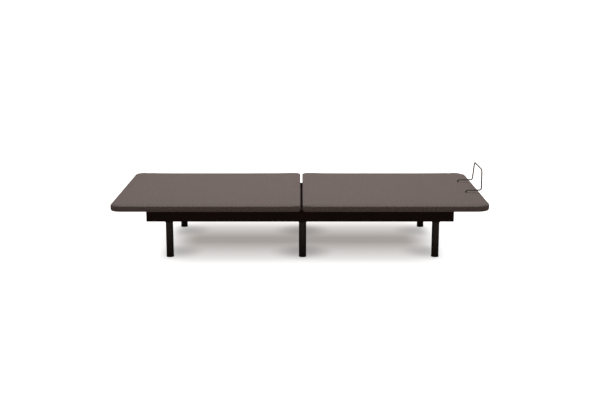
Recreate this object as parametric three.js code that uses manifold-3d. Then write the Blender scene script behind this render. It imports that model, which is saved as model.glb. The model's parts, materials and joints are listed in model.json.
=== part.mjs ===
// Adjustable bed base: an upholstered deck in two halves on a steel frame with six legs.
// Under the deck, two linear actuators turn two lift tubes whose arms push the back and thigh panels up,
// and a pair of links carries the calf panel.
// Millimetres, +Z up. +X runs from the head end to the foot end. The sleeper's left is +Y.
// The origin is on the floor, under the centre of the whole object.
import * as THREE from "three";
import { mergeVertices } from "three/addons/utils/BufferGeometryUtils.js";
import Module from "manifold-3d";

const wasm = await Module();
wasm.setup();

// ---- Driving dimensions ----
const CLEAR = 0.3; // gap between touching pieces
const DECK_LENGTH = 2032;
const DECK_WIDTH = 965;
const DECK_TOP = 310;
const BAR_OVERHANG = 10; // how far the mattress retainer stands past the foot end
const HEAD_END = -(DECK_LENGTH + BAR_OVERHANG) / 2;
const FOOT_END = HEAD_END + DECK_LENGTH;
const DECK_MIDDLE = HEAD_END + DECK_LENGTH / 2;
const HEAD_HALF = 1017.5;
const SPLIT_GAP = 12.5; // open slot between the two halves of the deck
const SPLIT_HEAD = HEAD_END + HEAD_HALF;
const SPLIT_FOOT = SPLIT_HEAD + SPLIT_GAP;
const HEAD_CORNER = 55; // plan radius of the deck's corners
const FOOT_CORNER = 72;
const SPLIT_CORNER = 15;
const PAD_THICK = 15.7;
const BOARD_THICK = 16;
const BOARD_INSET = 7; // the padding wraps the board's edge
const BOARD_BOTTOM = DECK_TOP - PAD_THICK - CLEAR - BOARD_THICK;
const PAD_BOTTOM = DECK_TOP - PAD_THICK;

// Fold lines: all the hinge pins are inside the boards' thickness
const PIVOT_Z = 286;
const BACK_PIVOT_X = -246;
const THIGH_PIVOT_X = SPLIT_FOOT + 20;
const KNEE_PIVOT_X = 374;
const BOARD_GAP = 5; // from a fold line to each board
const CREASE_BOTTOM = 6.5; // from a fold line to each pad, at the pad's underside
const CREASE_TOP = 16; // and at its top, where the two pads close on each other
const KNEE_CREASE = 1;

// Frame
const RAIL_LENGTH = 1667;
const RAIL_HEIGHT = 70;
const RAIL_WIDTH = 40;
const RAIL_WALL = 2.5;
const RAIL_BOTTOM = 200;
const RAIL_TOP = RAIL_BOTTOM + RAIL_HEIGHT;
const RAIL_OUTER_Y = 374;
const RAIL_INNER_Y = RAIL_OUTER_Y - RAIL_WIDTH;
const CROSS_HALF = RAIL_INNER_Y - CLEAR;
const CROSS_BOTTOM = 205;
const CROSS_WIDTH = 40;
const END_CROSS_X = 793; // from the deck's middle to each end cross rail's middle
const BACK_CROSS = { x0: -231, x1: -201, z0: 235, z1: BOARD_BOTTOM - CLEAR };
const CENTER_CROSS = { x0: -26, x1: 14, z0: CROSS_BOTTOM, z1: 262 };

// Legs
const LEG_SPACING = 726;
const LEG_MIDDLE_X = DECK_MIDDLE + 13.5;
const LEG_Y = 354;
const LEG_RADIUS = 20;
const LEG_WALL = 2;
const LEG_PLATE = { length: 44, width: 40, thick: 4 };
const GLIDE = { radius: 21, height: 6, stem: 14 };

// Hinge plates, on the left side; the right side is their mirror image
const PIN_RADIUS = 4;
const EYE_RADIUS = 7.5;
const PIN_HOLE = 4.5;
const EYE_ROOT = 4.5; // radius of the eye plate where it joins its bar
const EYE_REACH = 15; // from a fold line to the end of each bar
const EAR_Y0 = 266; // moving plate
const EAR_Y1 = 271;
const LUG_Y0 = EAR_Y1 + 0.5; // standing plate beside it
const LUG_Y1 = LUG_Y0 + 5;
const NOTCH_Y0 = 260; // slot that the boards leave for the hinge plates
const NOTCH_Y1 = 281;

// Runners: flat steel bars under the panels, for the rollers
const RUNNER_Y0 = 232;
const RUNNER_THICK = 4;
const RUNNER_TOP = BOARD_BOTTOM - CLEAR;
const RUNNER_BOTTOM = RUNNER_TOP - RUNNER_THICK;
const BACK_RUNNER_END = -786;
const CALF_BRACKET_END = 759;

// Lift tubes, arms and rollers
const ROLLER_RADIUS = 16;
const ROLLER_BORE = 4.5;
const ROLLER_Y0 = 240;
const ROLLER_Y1 = 260;
const ROLLER_Z = RUNNER_BOTTOM - CLEAR - ROLLER_RADIUS;
const LIFT_Z = 243;
const LIFT_TUBE_RADIUS = 15;
const LIFT_JOURNAL = 8;
const JOURNAL_PLAY = 0.5;
const BOSS_RADIUS = 23; // of an arm or crank, round the lift tube
const TIP_RADIUS = 11; // and round its far pin
const HEAD_LIFT = { x: -276, arm: 400, side: -1 };
const FOOT_LIFT = { x: 74, arm: 220, side: 1 };
const ARM_Y0 = 226;
const ARM_Y1 = 234;
const CRANK_RADIUS = 90;
const CRANK_PIN = 6;

// Actuators: the pin at the rear, and the crank's lean at rest
const HEAD_ACTUATOR = { x: 39, z: 165, y: 110, lean: 22, side: -1 };
const FOOT_ACTUATOR = { x: -186, z: 160, y: -45, lean: 14, side: 1 };

// Calf links
// From the journal in the side rail to the pin on the calf bracket. The eye is loose on its pin
const LINK = { x0: 454, z0: 245, x1: 714, z1: 252, y0: 314, y1: 320, journal: 6, pin: 5, eye: 7.5 };

// Mattress retainer bar
const BAR_RADIUS = 3.75;
const BAR_HALF_WIDTH = 155;
const BAR_TOP_HALF = 124; // the hoop is narrower at its top
const BAR_FOOT_X = FOOT_END - 85;
const BAR_RISE = 21; // wire's centre above the deck
const BAR_HEIGHT = 110;
const BAR_TOP_X = FOOT_END + BAR_OVERHANG - BAR_RADIUS;
const BAR_LOW_X = BAR_TOP_X - 5;

// ---- Materials ----
function finish(color, roughness, metalness) {
  return new THREE.MeshStandardMaterial({ color, roughness, metalness });
}

const FABRIC = finish(0x746965, 0.95, 0);
const BOARD = finish(0x8c7357, 0.8, 0);
const FRAME_PAINT = finish(0x161210, 0.5, 0.3);
const LEG_PAINT = finish(0x1c1917, 0.45, 0.3);
const MOTOR_PLASTIC = finish(0x2a2a2c, 0.6, 0);
const ALUMINIUM = finish(0xb4b6b8, 0.35, 1);
const STEEL = finish(0xa5a7a8, 0.3, 1);
const RUBBER = finish(0x1a1a1a, 0.9, 0);
const NYLON = finish(0xd8d6cf, 0.5, 0);
const BAR_PAINT = finish(0x2a2523, 0.35, 0.5);

// ---- Solid helpers ----
const ARC_SEGMENTS = 6; // an arc in an outline has twice as many sides

function toSolid(geometry) {
  const bare = geometry.clone();
  bare.deleteAttribute("normal");
  bare.deleteAttribute("uv");
  const merged = mergeVertices(bare, 1e-3);
  const vertProperties = new Float32Array(merged.attributes.position.array);
  const triVerts = new Uint32Array(merged.index.array);
  return new wasm.Manifold(new wasm.Mesh({ numProp: 3, vertProperties, triVerts }));
}

function toGeometry(solid) {
  const mesh = solid.getMesh();
  const geometry = new THREE.BufferGeometry();
  geometry.setAttribute("position", new THREE.BufferAttribute(new Float32Array(mesh.vertProperties), 3));
  geometry.setIndex(new THREE.BufferAttribute(new Uint32Array(mesh.triVerts), 1));
  return geometry;
}

const joined = (...pieces) => toGeometry(pieces.map(toSolid).reduce((a, b) => a.add(b)));

function cut(piece, ...tools) {
  const left = tools.map(toSolid).reduce((a, b) => a.subtract(b), toSolid(piece));
  return toGeometry(left);
}

// A turned shape about the Y axis, from a profile of [radius, height]
function lathe(profile, sides) {
  const points = profile.map(([radius, height]) => new THREE.Vector2(radius, height));
  return new THREE.LatheGeometry(points, sides);
}

function block(x0, x1, y0, y1, z0, z1) {
  const geometry = new THREE.BoxGeometry(x1 - x0, y1 - y0, z1 - z0);
  return geometry.translate((x0 + x1) / 2, (y0 + y1) / 2, (z0 + z1) / 2);
}

// A round bar along Y
function barY(x, z, radius, y0, y1, sides = 20) {
  const geometry = new THREE.CylinderGeometry(radius, radius, y1 - y0, sides);
  return geometry.translate(x, (y0 + y1) / 2, z);
}

// A plate that stands in the XZ plane, from its outline
function plateXZ(outline, y0, y1, curveSegments = ARC_SEGMENTS) {
  const options = { depth: y1 - y0, bevelEnabled: false, curveSegments };
  const geometry = new THREE.ExtrudeGeometry(outline, options);
  return geometry.rotateX(Math.PI / 2).translate(0, y1, 0);
}

// A flat plate, from its outline in plan
function plateXY(outline, z0, z1, curveSegments = ARC_SEGMENTS) {
  const options = { depth: z1 - z0, bevelEnabled: false, curveSegments };
  return new THREE.ExtrudeGeometry(outline, options).translate(0, 0, z0);
}

// The outline of a strap round two circles, the common shape of arms, links and eyes
function strapOutline(a, radiusA, b, radiusB) {
  const length = Math.hypot(b.x - a.x, b.z - a.z);
  const heading = Math.atan2(b.z - a.z, b.x - a.x);
  const open = Math.acos((radiusA - radiusB) / length);
  const outline = new THREE.Shape();
  outline.absarc(a.x, a.z, radiusA, heading + open, heading - open + 2 * Math.PI, false);
  outline.absarc(b.x, b.z, radiusB, heading - open, heading + open, false);
  outline.closePath();
  return outline;
}

// The hole's flats, not its corners, are at the radius, so that a round pin clears them
function roundHole(outline, x, z, radius) {
  const hole = new THREE.Path();
  const cornerRadius = radius / Math.cos(Math.PI / (2 * ARC_SEGMENTS));
  hole.absarc(x, z, cornerRadius, 0, 2 * Math.PI, true);
  outline.holes.push(hole);
  return outline;
}

const mirrored = (geometry) => {
  const flipped = toSolid(geometry).mirror([0, 1, 0]);
  return toGeometry(flipped);
};

// ---- The group ----
const group = new THREE.Group();

function add(name, geometry, material) {
  const mesh = new THREE.Mesh(geometry, material);
  mesh.name = name;
  group.add(mesh);
  return mesh;
}

// The same piece on the left and, mirrored, on the right
function addPair(name, geometry, material) {
  add(name + "_left", geometry, material);
  add(name + "_right", mirrored(geometry), material);
}

// ---- Frame ----
function sideRail() {
  const x0 = DECK_MIDDLE - RAIL_LENGTH / 2;
  const x1 = DECK_MIDDLE + RAIL_LENGTH / 2;
  const outer = block(x0, x1, RAIL_INNER_Y, RAIL_OUTER_Y, RAIL_BOTTOM, RAIL_TOP);
  const y0 = RAIL_INNER_Y + RAIL_WALL;
  const y1 = RAIL_OUTER_Y - RAIL_WALL;
  const inner = block(x0 - 1, x1 + 1, y0, y1, RAIL_BOTTOM + RAIL_WALL, RAIL_TOP - RAIL_WALL);
  const bearingHole = (x, z, radius) => barY(x, z, radius, RAIL_INNER_Y - 2, y0 + 2);
  const holes = [
    bearingHole(HEAD_LIFT.x, LIFT_Z, LIFT_JOURNAL + JOURNAL_PLAY),
    bearingHole(FOOT_LIFT.x, LIFT_Z, LIFT_JOURNAL + JOURNAL_PLAY),
    bearingHole(LINK.x0, LINK.z0, LINK.journal + JOURNAL_PLAY),
  ];
  return cut(outer, inner, ...holes);
}

function crossTube(x0, x1, z0, z1) {
  const outer = block(x0, x1, -CROSS_HALF, CROSS_HALF, z0, z1);
  const w = RAIL_WALL;
  const inner = block(x0 + w, x1 - w, -CROSS_HALF - 1, CROSS_HALF + 1, z0 + w, z1 - w);
  return cut(outer, inner);
}

function endCross(x) {
  return crossTube(x - CROSS_WIDTH / 2, x + CROSS_WIDTH / 2, CROSS_BOTTOM, RAIL_TOP);
}

// A standing lug with its stub pin, for the panel hinge at pivotX
function hingeLug(pivotX, footX0, footX1, footZ) {
  const outline = new THREE.Shape();
  const lean = pivotX < footX0 ? -1 : 1;
  outline.moveTo(footX0, footZ);
  outline.lineTo(footX1, footZ);
  if (lean > 0) {
    outline.lineTo(pivotX + EYE_RADIUS, PIVOT_Z);
    outline.absarc(pivotX, PIVOT_Z, EYE_RADIUS, 0, 0.75 * Math.PI, false);
  } else {
    outline.lineTo(footX1, PIVOT_Z);
    outline.absarc(pivotX, PIVOT_Z, EYE_RADIUS, 0.5 * Math.PI, 1.3 * Math.PI, false);
  }
  outline.closePath();
  const pin = barY(pivotX, PIVOT_Z, PIN_RADIUS, EAR_Y0 - 3, LUG_Y1 - 1, 12);
  return joined(plateXZ(outline, LUG_Y0, LUG_Y1), pin);
}

function backCross() {
  const { x0, x1, z0, z1 } = BACK_CROSS;
  const lug = hingeLug(BACK_PIVOT_X, x0, x1, z1 - 1);
  return joined(crossTube(x0, x1, z0, z1), lug, mirrored(lug));
}

function centerCross() {
  const { x0, x1, z0, z1 } = CENTER_CROSS;
  const lug = hingeLug(THIGH_PIVOT_X, x1 - 15, x1, z1 - 1);
  const riserTop = BOARD_BOTTOM - CLEAR;
  const riser = block(x0, x0 + 16, 150, 210, z1 - 1, riserTop);
  return joined(crossTube(x0, x1, z0, z1), lug, mirrored(lug), riser, mirrored(riser));
}

function bumper(x) {
  return block(x - 12, x + 12, -200, 200, RAIL_TOP + CLEAR, BOARD_BOTTOM - CLEAR);
}

// ---- Legs ----
function leg(x, y) {
  const base = GLIDE.height + CLEAR;
  const top = RAIL_BOTTOM - CLEAR;
  const plateUnder = top - LEG_PLATE.thick;
  const r = LEG_RADIUS;
  const bore = LEG_RADIUS - LEG_WALL;
  const wall = [[bore, base], [r, base], [r, plateUnder + 1], [bore, plateUnder + 1], [bore, base]];
  const tube = lathe(wall, 30);
  tube.rotateX(Math.PI / 2);
  const { length, width } = LEG_PLATE;
  const plate = block(-length / 2, length / 2, -width / 2, width / 2, plateUnder, top);
  return joined(tube, plate).translate(x, y, 0);
}

function glide(x, y) {
  const stemRadius = LEG_RADIUS - LEG_WALL - CLEAR;
  const h = GLIDE.height;
  const r = GLIDE.radius;
  const top = h + GLIDE.stem;
  const profile = [[0, 0], [r, 0], [r, h], [stemRadius, h], [stemRadius, top], [0, top]];
  const turned = lathe(profile, 24);
  return turned.rotateX(Math.PI / 2).translate(x, y, 0);
}

// ---- Deck boards and pads ----
// A panel in plan between x0 and x1, with its own corner radius at each end
function panelOutline(x0, x1, halfWidth, radius0, radius1) {
  const outline = new THREE.Shape();
  outline.moveTo(x0 + radius0, -halfWidth);
  outline.lineTo(x1 - radius1, -halfWidth);
  if (radius1) outline.absarc(x1 - radius1, -halfWidth + radius1, radius1, -Math.PI / 2, 0, false);
  outline.lineTo(x1, halfWidth - radius1);
  if (radius1) outline.absarc(x1 - radius1, halfWidth - radius1, radius1, 0, Math.PI / 2, false);
  outline.lineTo(x0 + radius0, halfWidth);
  if (radius0) outline.absarc(x0 + radius0, halfWidth - radius0, radius0, Math.PI / 2, Math.PI, false);
  outline.lineTo(x0, -halfWidth + radius0);
  if (radius0) outline.absarc(x0 + radius0, -halfWidth + radius0, radius0, Math.PI, 1.5 * Math.PI, false);
  return outline;
}

const notch = (x0, x1) => {
  const left = block(x0, x1, NOTCH_Y0, NOTCH_Y1, BOARD_BOTTOM - 5, PAD_BOTTOM + 5);
  return [left, mirrored(left)];
};

function board(x0, x1, radius0, radius1, ...cuts) {
  const outline = panelOutline(x0, x1, DECK_WIDTH / 2 - BOARD_INSET, radius0, radius1);
  return cut(plateXY(outline, BOARD_BOTTOM, BOARD_BOTTOM + BOARD_THICK), ...cuts.flat());
}

function pad(x0, x1, radius0, radius1, ...cuts) {
  const outline = panelOutline(x0, x1, DECK_WIDTH / 2, radius0, radius1);
  const slab = plateXY(outline, PAD_BOTTOM, DECK_TOP);
  return cuts.length ? cut(slab, ...cuts.flat()) : slab;
}

// The V between two pads that close on each other
function creaseTool(pivotX) {
  const half = DECK_WIDTH / 2 + 5;
  const slope = (CREASE_TOP - CREASE_BOTTOM) / PAD_THICK;
  const below = CREASE_BOTTOM - 2 * slope;
  const above = CREASE_TOP + 2 * slope;
  const outline = new THREE.Shape();
  outline.moveTo(pivotX - below, PAD_BOTTOM - 2);
  outline.lineTo(pivotX + below, PAD_BOTTOM - 2);
  outline.lineTo(pivotX + above, DECK_TOP + 2);
  outline.lineTo(pivotX - above, DECK_TOP + 2);
  return plateXZ(outline, -half, half);
}

const barHole = (side) => {
  const hole = new THREE.CylinderGeometry(5, 5, 60, 14);
  return hole.rotateX(Math.PI / 2).translate(BAR_FOOT_X, side * BAR_HALF_WIDTH, DECK_TOP - 20);
};

// ---- Runners with their hinge eyes ----
// The eye that turns on a lug's stub pin, carried by a flat bar between barX0 and barX1
function eyePlate(pivotX, barNearX, y0, y1) {
  const side = Math.sign(barNearX - pivotX);
  const eye = { x: pivotX, z: PIVOT_Z };
  const root = { x: barNearX + side * 12, z: RUNNER_BOTTOM + EYE_ROOT };
  const outline = strapOutline(eye, EYE_RADIUS, root, EYE_ROOT);
  return plateXZ(roundHole(outline, pivotX, PIVOT_Z, PIN_HOLE), y0, y1);
}

function runnerBar(x0, x1, y0, y1) {
  return block(x0, x1, y0, y1, RUNNER_BOTTOM, RUNNER_TOP);
}

function backRunner() {
  const nearX = BACK_PIVOT_X - EYE_REACH;
  const bar = runnerBar(BACK_RUNNER_END, nearX, RUNNER_Y0, EAR_Y1);
  return joined(bar, eyePlate(BACK_PIVOT_X, nearX, EAR_Y0, EAR_Y1));
}

function thighRunner() {
  const x0 = THIGH_PIVOT_X + EYE_REACH;
  const x1 = KNEE_PIVOT_X - EYE_REACH;
  const bar = runnerBar(x0, x1, RUNNER_Y0, EAR_Y1);
  const eye = eyePlate(THIGH_PIVOT_X, x0, EAR_Y0, EAR_Y1);
  const kneeRoot = { x: x1 - 12, z: RUNNER_BOTTOM + EYE_ROOT };
  const knee = strapOutline({ x: KNEE_PIVOT_X, z: PIVOT_Z }, EYE_RADIUS, kneeRoot, EYE_ROOT);
  const kneePin = barY(KNEE_PIVOT_X, PIVOT_Z, PIN_RADIUS, EAR_Y0 + 1, LUG_Y1 + 3, 12);
  return joined(bar, eye, plateXZ(knee, EAR_Y0, EAR_Y1), kneePin);
}

function calfBracket() {
  const x0 = KNEE_PIVOT_X + EYE_REACH;
  const outerY = LINK.y0 - 2.5;
  const bar = runnerBar(x0, CALF_BRACKET_END, LUG_Y0, outerY);
  const eye = eyePlate(KNEE_PIVOT_X, x0, LUG_Y0, LUG_Y1);
  const pivot = { x: LINK.x1, z: LINK.z1 };
  const hangTop = { x: LINK.x1, z: RUNNER_TOP - 18 };
  const hanger = plateXZ(strapOutline(pivot, 11, hangTop, 18), outerY - 5, outerY);
  const pin = barY(LINK.x1, LINK.z1, LINK.pin, outerY - 1, LINK.y1 + 3, 14);
  return joined(bar, eye, hanger, pin);
}

function calfLink() {
  const outline = strapOutline({ x: LINK.x0, z: LINK.z0 }, 12, { x: LINK.x1, z: LINK.z1 }, 13);
  roundHole(outline, LINK.x1, LINK.z1, LINK.eye);
  const journal = barY(LINK.x0, LINK.z0, LINK.journal, LINK.y1 - 1, RAIL_INNER_Y + 6, 16);
  return joined(plateXZ(outline, LINK.y0, LINK.y1), journal);
}

// ---- Lift tubes, arms, cranks and rollers ----
function liftTube({ x }) {
  const body = barY(x, LIFT_Z, LIFT_TUBE_RADIUS, -CROSS_HALF, CROSS_HALF, 24);
  const journals = barY(x, LIFT_Z, LIFT_JOURNAL, -CROSS_HALF - 8, CROSS_HALF + 8, 18);
  return joined(body, journals);
}

function rollerCentre({ x, arm, side }) {
  const rise = ROLLER_Z - LIFT_Z;
  return { x: x + side * Math.sqrt(arm * arm - rise * rise), z: ROLLER_Z };
}

function liftArm(lift) {
  const end = rollerCentre(lift);
  const outline = strapOutline({ x: lift.x, z: LIFT_Z }, BOSS_RADIUS, end, TIP_RADIUS);
  roundHole(outline, lift.x, LIFT_Z, LIFT_TUBE_RADIUS + CLEAR);
  const axle = barY(end.x, end.z, PIN_RADIUS, ARM_Y1 - 1, ROLLER_Y1 + 3, 12);
  return joined(plateXZ(outline, ARM_Y0, ARM_Y1), axle);
}

function roller(lift) {
  const { x, z } = rollerCentre(lift);
  const rim = ROLLER_RADIUS;
  const half = (ROLLER_Y1 - ROLLER_Y0) / 2;
  const bore = ROLLER_BORE;
  const profile = [[bore, -half], [rim, -half], [rim, half], [bore, half], [bore, -half]];
  const turned = lathe(profile, 24);
  return turned.translate(x, (ROLLER_Y0 + ROLLER_Y1) / 2, z);
}

// Where the crank pin is at rest: the crank hangs, leaning back towards the actuator
function crankPin(lift, actuator) {
  const lean = (actuator.lean * Math.PI) / 180;
  const x = lift.x - actuator.side * CRANK_RADIUS * Math.sin(lean);
  return { x, z: LIFT_Z - CRANK_RADIUS * Math.cos(lean) };
}

function crank(lift, actuator) {
  const pin = crankPin(lift, actuator);
  const outline = strapOutline({ x: lift.x, z: LIFT_Z }, BOSS_RADIUS, pin, TIP_RADIUS);
  roundHole(outline, lift.x, LIFT_Z, LIFT_TUBE_RADIUS + CLEAR);
  const plate = plateXZ(outline, actuator.y - 4, actuator.y + 4);
  return joined(plate, barY(pin.x, pin.z, CRANK_PIN, actuator.y - 15, actuator.y + 15, 16));
}

// ---- Actuators ----
// Each is built with its rear pin at the origin and its thrust along +X, then set in place
const CASE = { x0: 18, x1: 100, halfY: 32, halfZ: 26 };
const TUBE = { radius: 17, bore: 12.5, gland: 10.4, glandDepth: 6, rodShown: 13 };
const ROD_RADIUS = 10;
// The crank swings in the fork's upright slot, which stops at the bridge that joins it to the rod
const FORK = { back: 41, bridge: 9, front: 16, halfY: 12, below: 26, above: 14, slotHalfY: 5 };
const PIN_SLOT = { behind: 8, ahead: 11, wallBelow: 5, above: 8 };

function placeActuator(geometry, actuator, lift) {
  const pin = crankPin(lift, actuator);
  if (actuator.side < 0) geometry.rotateZ(Math.PI);
  const drop = Math.atan2(pin.z - actuator.z, Math.abs(pin.x - actuator.x));
  geometry.rotateY(-actuator.side * drop);
  return geometry.translate(actuator.x, actuator.y, actuator.z);
}

function actuatorLength(actuator, lift) {
  const pin = crankPin(lift, actuator);
  return Math.hypot(pin.x - actuator.x, pin.z - actuator.z);
}

function motorCase() {
  const { x0, x1, halfY, halfZ } = CASE;
  const eye = barY(0, 0, 14, -17, 17, 20);
  const neck = block(0, x0 + 1, -17, 17, -14, 14);
  const outline = new THREE.Shape();
  const r = 8;
  outline.moveTo(x0 + r, -halfZ);
  outline.lineTo(x1 - r, -halfZ);
  outline.absarc(x1 - r, -halfZ + r, r, -Math.PI / 2, 0, false);
  outline.absarc(x1 - r, halfZ - r, r, 0, Math.PI / 2, false);
  outline.absarc(x0 + r, halfZ - r, r, Math.PI / 2, Math.PI, false);
  outline.absarc(x0 + r, -halfZ + r, r, Math.PI, 1.5 * Math.PI, false);
  const gearbox = plateXZ(outline, -halfY, halfY, 3);
  const canX = (x0 + x1) / 2;
  const can = barY(canX, 0, 22, halfY - 1, halfY + 74, 24);
  const cap = barY(canX, 0, 15, halfY + 73, halfY + 80, 18);
  const pinHole = barY(0, 0, CRANK_PIN + 0.5, -30, 30, 16);
  return cut(joined(eye, neck, gearbox, can, cap), pinHole);
}

function outerTube(length) {
  const x0 = CASE.x1 + CLEAR;
  const x1 = length - FORK.back - TUBE.rodShown;
  const { radius, bore, gland, glandDepth } = TUBE;
  const step = x1 - glandDepth;
  const outside = [[bore, x0], [radius, x0], [radius, x1]];
  const inside = [[gland, x1], [gland, step], [bore, step], [bore, x0]];
  const profile = [...outside, ...inside];
  const turned = lathe(profile, 24);
  return turned.rotateZ(-Math.PI / 2);
}

// The rod with its fork. The pin's slot is tall, because the actuator only pushes
function rod(length) {
  const x0 = CASE.x1 + 6;
  const { back, bridge, front, halfY, below, above, slotHalfY } = FORK;
  const { behind, ahead, wallBelow } = PIN_SLOT;
  const x1 = length - back + 1;
  const bar = new THREE.CylinderGeometry(ROD_RADIUS, ROD_RADIUS, x1 - x0, 20);
  bar.rotateZ(Math.PI / 2).translate((x0 + x1) / 2, 0, 0);
  const fork = block(length - back, length + front, -halfY, halfY, -below, above);
  const slotX0 = length - back + bridge;
  const crankSlot = block(slotX0, length + front + 1, -slotHalfY, slotHalfY, -below - 1, above + 1);
  const pinZ0 = wallBelow - below;
  const pinSlot = block(length - behind, length + ahead, -halfY - 1, halfY + 1, pinZ0, PIN_SLOT.above);
  return joined(bar, cut(fork, crankSlot, pinSlot));
}

// A bracket that hangs from a cross rail and holds an actuator's rear pin
function motorMount(actuator, plateX0, plateX1, hangZ) {
  const { x, y, z } = actuator;
  const plate = block(plateX0, plateX1, y - 34, y + 34, hangZ - 6, hangZ);
  const outline = new THREE.Shape();
  outline.moveTo(x + 13, hangZ - 3);
  outline.lineTo(x - 13, hangZ - 3);
  outline.absarc(x, z, 13, Math.PI, 2 * Math.PI, false);
  outline.closePath();
  const ear = (side) => plateXZ(outline, y + side * 22 - 3, y + side * 22 + 3);
  return joined(plate, ear(-1), ear(1), barY(x, z, CRANK_PIN, y - 27, y + 27, 16));
}

// ---- Control box ----
const BOX = { x0: -181, x1: -41, y0: 262, y1: 333.5, z0: 207, z1: 252 };
const INLET = { y: 296, z: 230, halfY: 14, halfZ: 10, depth: 12, wall: 3 };

function controlBox() {
  const { x0, x1, y0, y1, z0, z1 } = BOX;
  const r = 6;
  const outline = new THREE.Shape();
  outline.moveTo(y0 + r, z0);
  outline.lineTo(y1, z0);
  outline.lineTo(y1, z1);
  outline.lineTo(y0 + r, z1);
  outline.absarc(y0 + r, z1 - r, r, Math.PI / 2, Math.PI, false);
  outline.absarc(y0 + r, z0 + r, r, Math.PI, 1.5 * Math.PI, false);
  const body = new THREE.ExtrudeGeometry(outline, { depth: x1 - x0, bevelEnabled: false, curveSegments: 4 });
  body.rotateX(Math.PI / 2).rotateZ(Math.PI / 2).translate(x0, 0, 0);
  const { y, z, depth } = INLET;
  const halfY = INLET.halfY + CLEAR;
  const halfZ = INLET.halfZ + CLEAR;
  return cut(body, block(x0 - 1, x0 + depth, y - halfY, y + halfY, z - halfZ, z + halfZ));
}

function mainsInlet() {
  const { y, z, halfY, halfZ, depth, wall } = INLET;
  const x0 = BOX.x0 - 2;
  const body = block(x0, BOX.x0 + depth - CLEAR, y - halfY, y + halfY, z - halfZ, z + halfZ);
  const openY = halfY - wall;
  const openZ = halfZ - wall;
  return cut(body, block(x0 - 1, x0 + depth - wall, y - openY, y + openY, z - openZ, z + openZ));
}

// ---- Mattress retainer ----
// One side of the wire from the deck up to the middle of its top
function retainerPath() {
  const low = BAR_FOOT_X;
  const level = DECK_TOP + BAR_RISE;
  const top = level + BAR_HEIGHT;
  const bottom = BOARD_BOTTOM - 4;
  const bend = 13;
  const topBend = 24;
  const path = new THREE.CurvePath();
  const v = (x, y, z) => new THREE.Vector3(x, y, z);
  const w = BAR_HALF_WIDTH;
  const topHalf = BAR_TOP_HALF;
  const line = (a, b) => path.add(new THREE.LineCurve3(a, b));
  const turn = (a, corner, b) => path.add(new THREE.QuadraticBezierCurve3(a, corner, b));
  const rise = (side) => {
    const lower = v(BAR_LOW_X, side * w, level);
    const upper = v(BAR_TOP_X, side * topHalf, top);
    const along = upper.clone().sub(lower).normalize();
    return [lower.addScaledVector(along, bend), upper.addScaledVector(along, -topBend)];
  };
  const [nearLow, nearHigh] = rise(-1);
  const [farLow, farHigh] = rise(1);
  line(v(low, -w, bottom), v(low, -w, level - bend));
  turn(v(low, -w, level - bend), v(low, -w, level), v(low + bend, -w, level));
  line(v(low + bend, -w, level), v(BAR_LOW_X - bend, -w, level));
  turn(v(BAR_LOW_X - bend, -w, level), v(BAR_LOW_X, -w, level), nearLow);
  line(nearLow, nearHigh);
  turn(nearHigh, v(BAR_TOP_X, -topHalf, top), v(BAR_TOP_X, -topHalf + topBend, top));
  line(v(BAR_TOP_X, -topHalf + topBend, top), v(BAR_TOP_X, topHalf - topBend, top));
  turn(v(BAR_TOP_X, topHalf - topBend, top), v(BAR_TOP_X, topHalf, top), farHigh);
  line(farHigh, farLow);
  turn(farLow, v(BAR_LOW_X, w, level), v(BAR_LOW_X - bend, w, level));
  line(v(BAR_LOW_X - bend, w, level), v(low + bend, w, level));
  turn(v(low + bend, w, level), v(low, w, level), v(low, w, level - bend));
  line(v(low, w, level - bend), v(low, w, bottom));
  return path;
}

function retainerBar() {
  const section = new THREE.Shape();
  section.absarc(0, 0, BAR_RADIUS, 0, 2 * Math.PI, false);
  const options = { steps: 90, curveSegments: 4, extrudePath: retainerPath(), bevelEnabled: false };
  return new THREE.ExtrudeGeometry(section, options);
}

function retainerPlate() {
  const halfY = BAR_HALF_WIDTH + 24;
  const plate = block(BAR_FOOT_X - 20, BAR_FOOT_X + 20, -halfY, halfY, RUNNER_BOTTOM - 2, RUNNER_TOP);
  return cut(plate, barHole(-1), barHole(1));
}

// ---- Assembly ----
addPair("side_rail", sideRail(), FRAME_PAINT);
add("cross_rail_head", endCross(DECK_MIDDLE - END_CROSS_X), FRAME_PAINT);
add("cross_rail_back", backCross(), FRAME_PAINT);
add("cross_rail_center", centerCross(), FRAME_PAINT);
add("cross_rail_foot", endCross(DECK_MIDDLE + END_CROSS_X), FRAME_PAINT);
add("bumper_head", bumper(DECK_MIDDLE - END_CROSS_X), RUBBER);
add("bumper_foot", bumper(DECK_MIDDLE + END_CROSS_X), RUBBER);

const LEG_PLACES = [["head", -1], ["center", 0], ["foot", 1]];
const LEG_SIDES = [["left", LEG_Y], ["right", -LEG_Y]];
for (const [place, offset] of LEG_PLACES) {
  for (const [side, y] of LEG_SIDES) {
    const x = LEG_MIDDLE_X + offset * LEG_SPACING;
    add("leg_" + place + "_" + side, leg(x, y), LEG_PAINT);
    add("glide_" + place + "_" + side, glide(x, y), RUBBER);
  }
}

const backInner = BACK_PIVOT_X - BOARD_GAP;
const seatOuter = BACK_PIVOT_X + BOARD_GAP;
const boardIn = BOARD_INSET;
const backNotches = notch(backInner - 35, backInner + 1);
const seatNotches = notch(seatOuter - 1, seatOuter + 45);
const creaseBack = creaseTool(BACK_PIVOT_X);

add("back_board", board(HEAD_END + boardIn, backInner, HEAD_CORNER - boardIn, 0, backNotches), BOARD);
add("back_pad", pad(HEAD_END, BACK_PIVOT_X, HEAD_CORNER, 0, creaseBack), FABRIC);
add("seat_board", board(seatOuter, SPLIT_HEAD - boardIn, 0, SPLIT_CORNER - boardIn, seatNotches), BOARD);
add("seat_pad", pad(BACK_PIVOT_X, SPLIT_HEAD, 0, SPLIT_CORNER, creaseBack), FABRIC);

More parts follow.
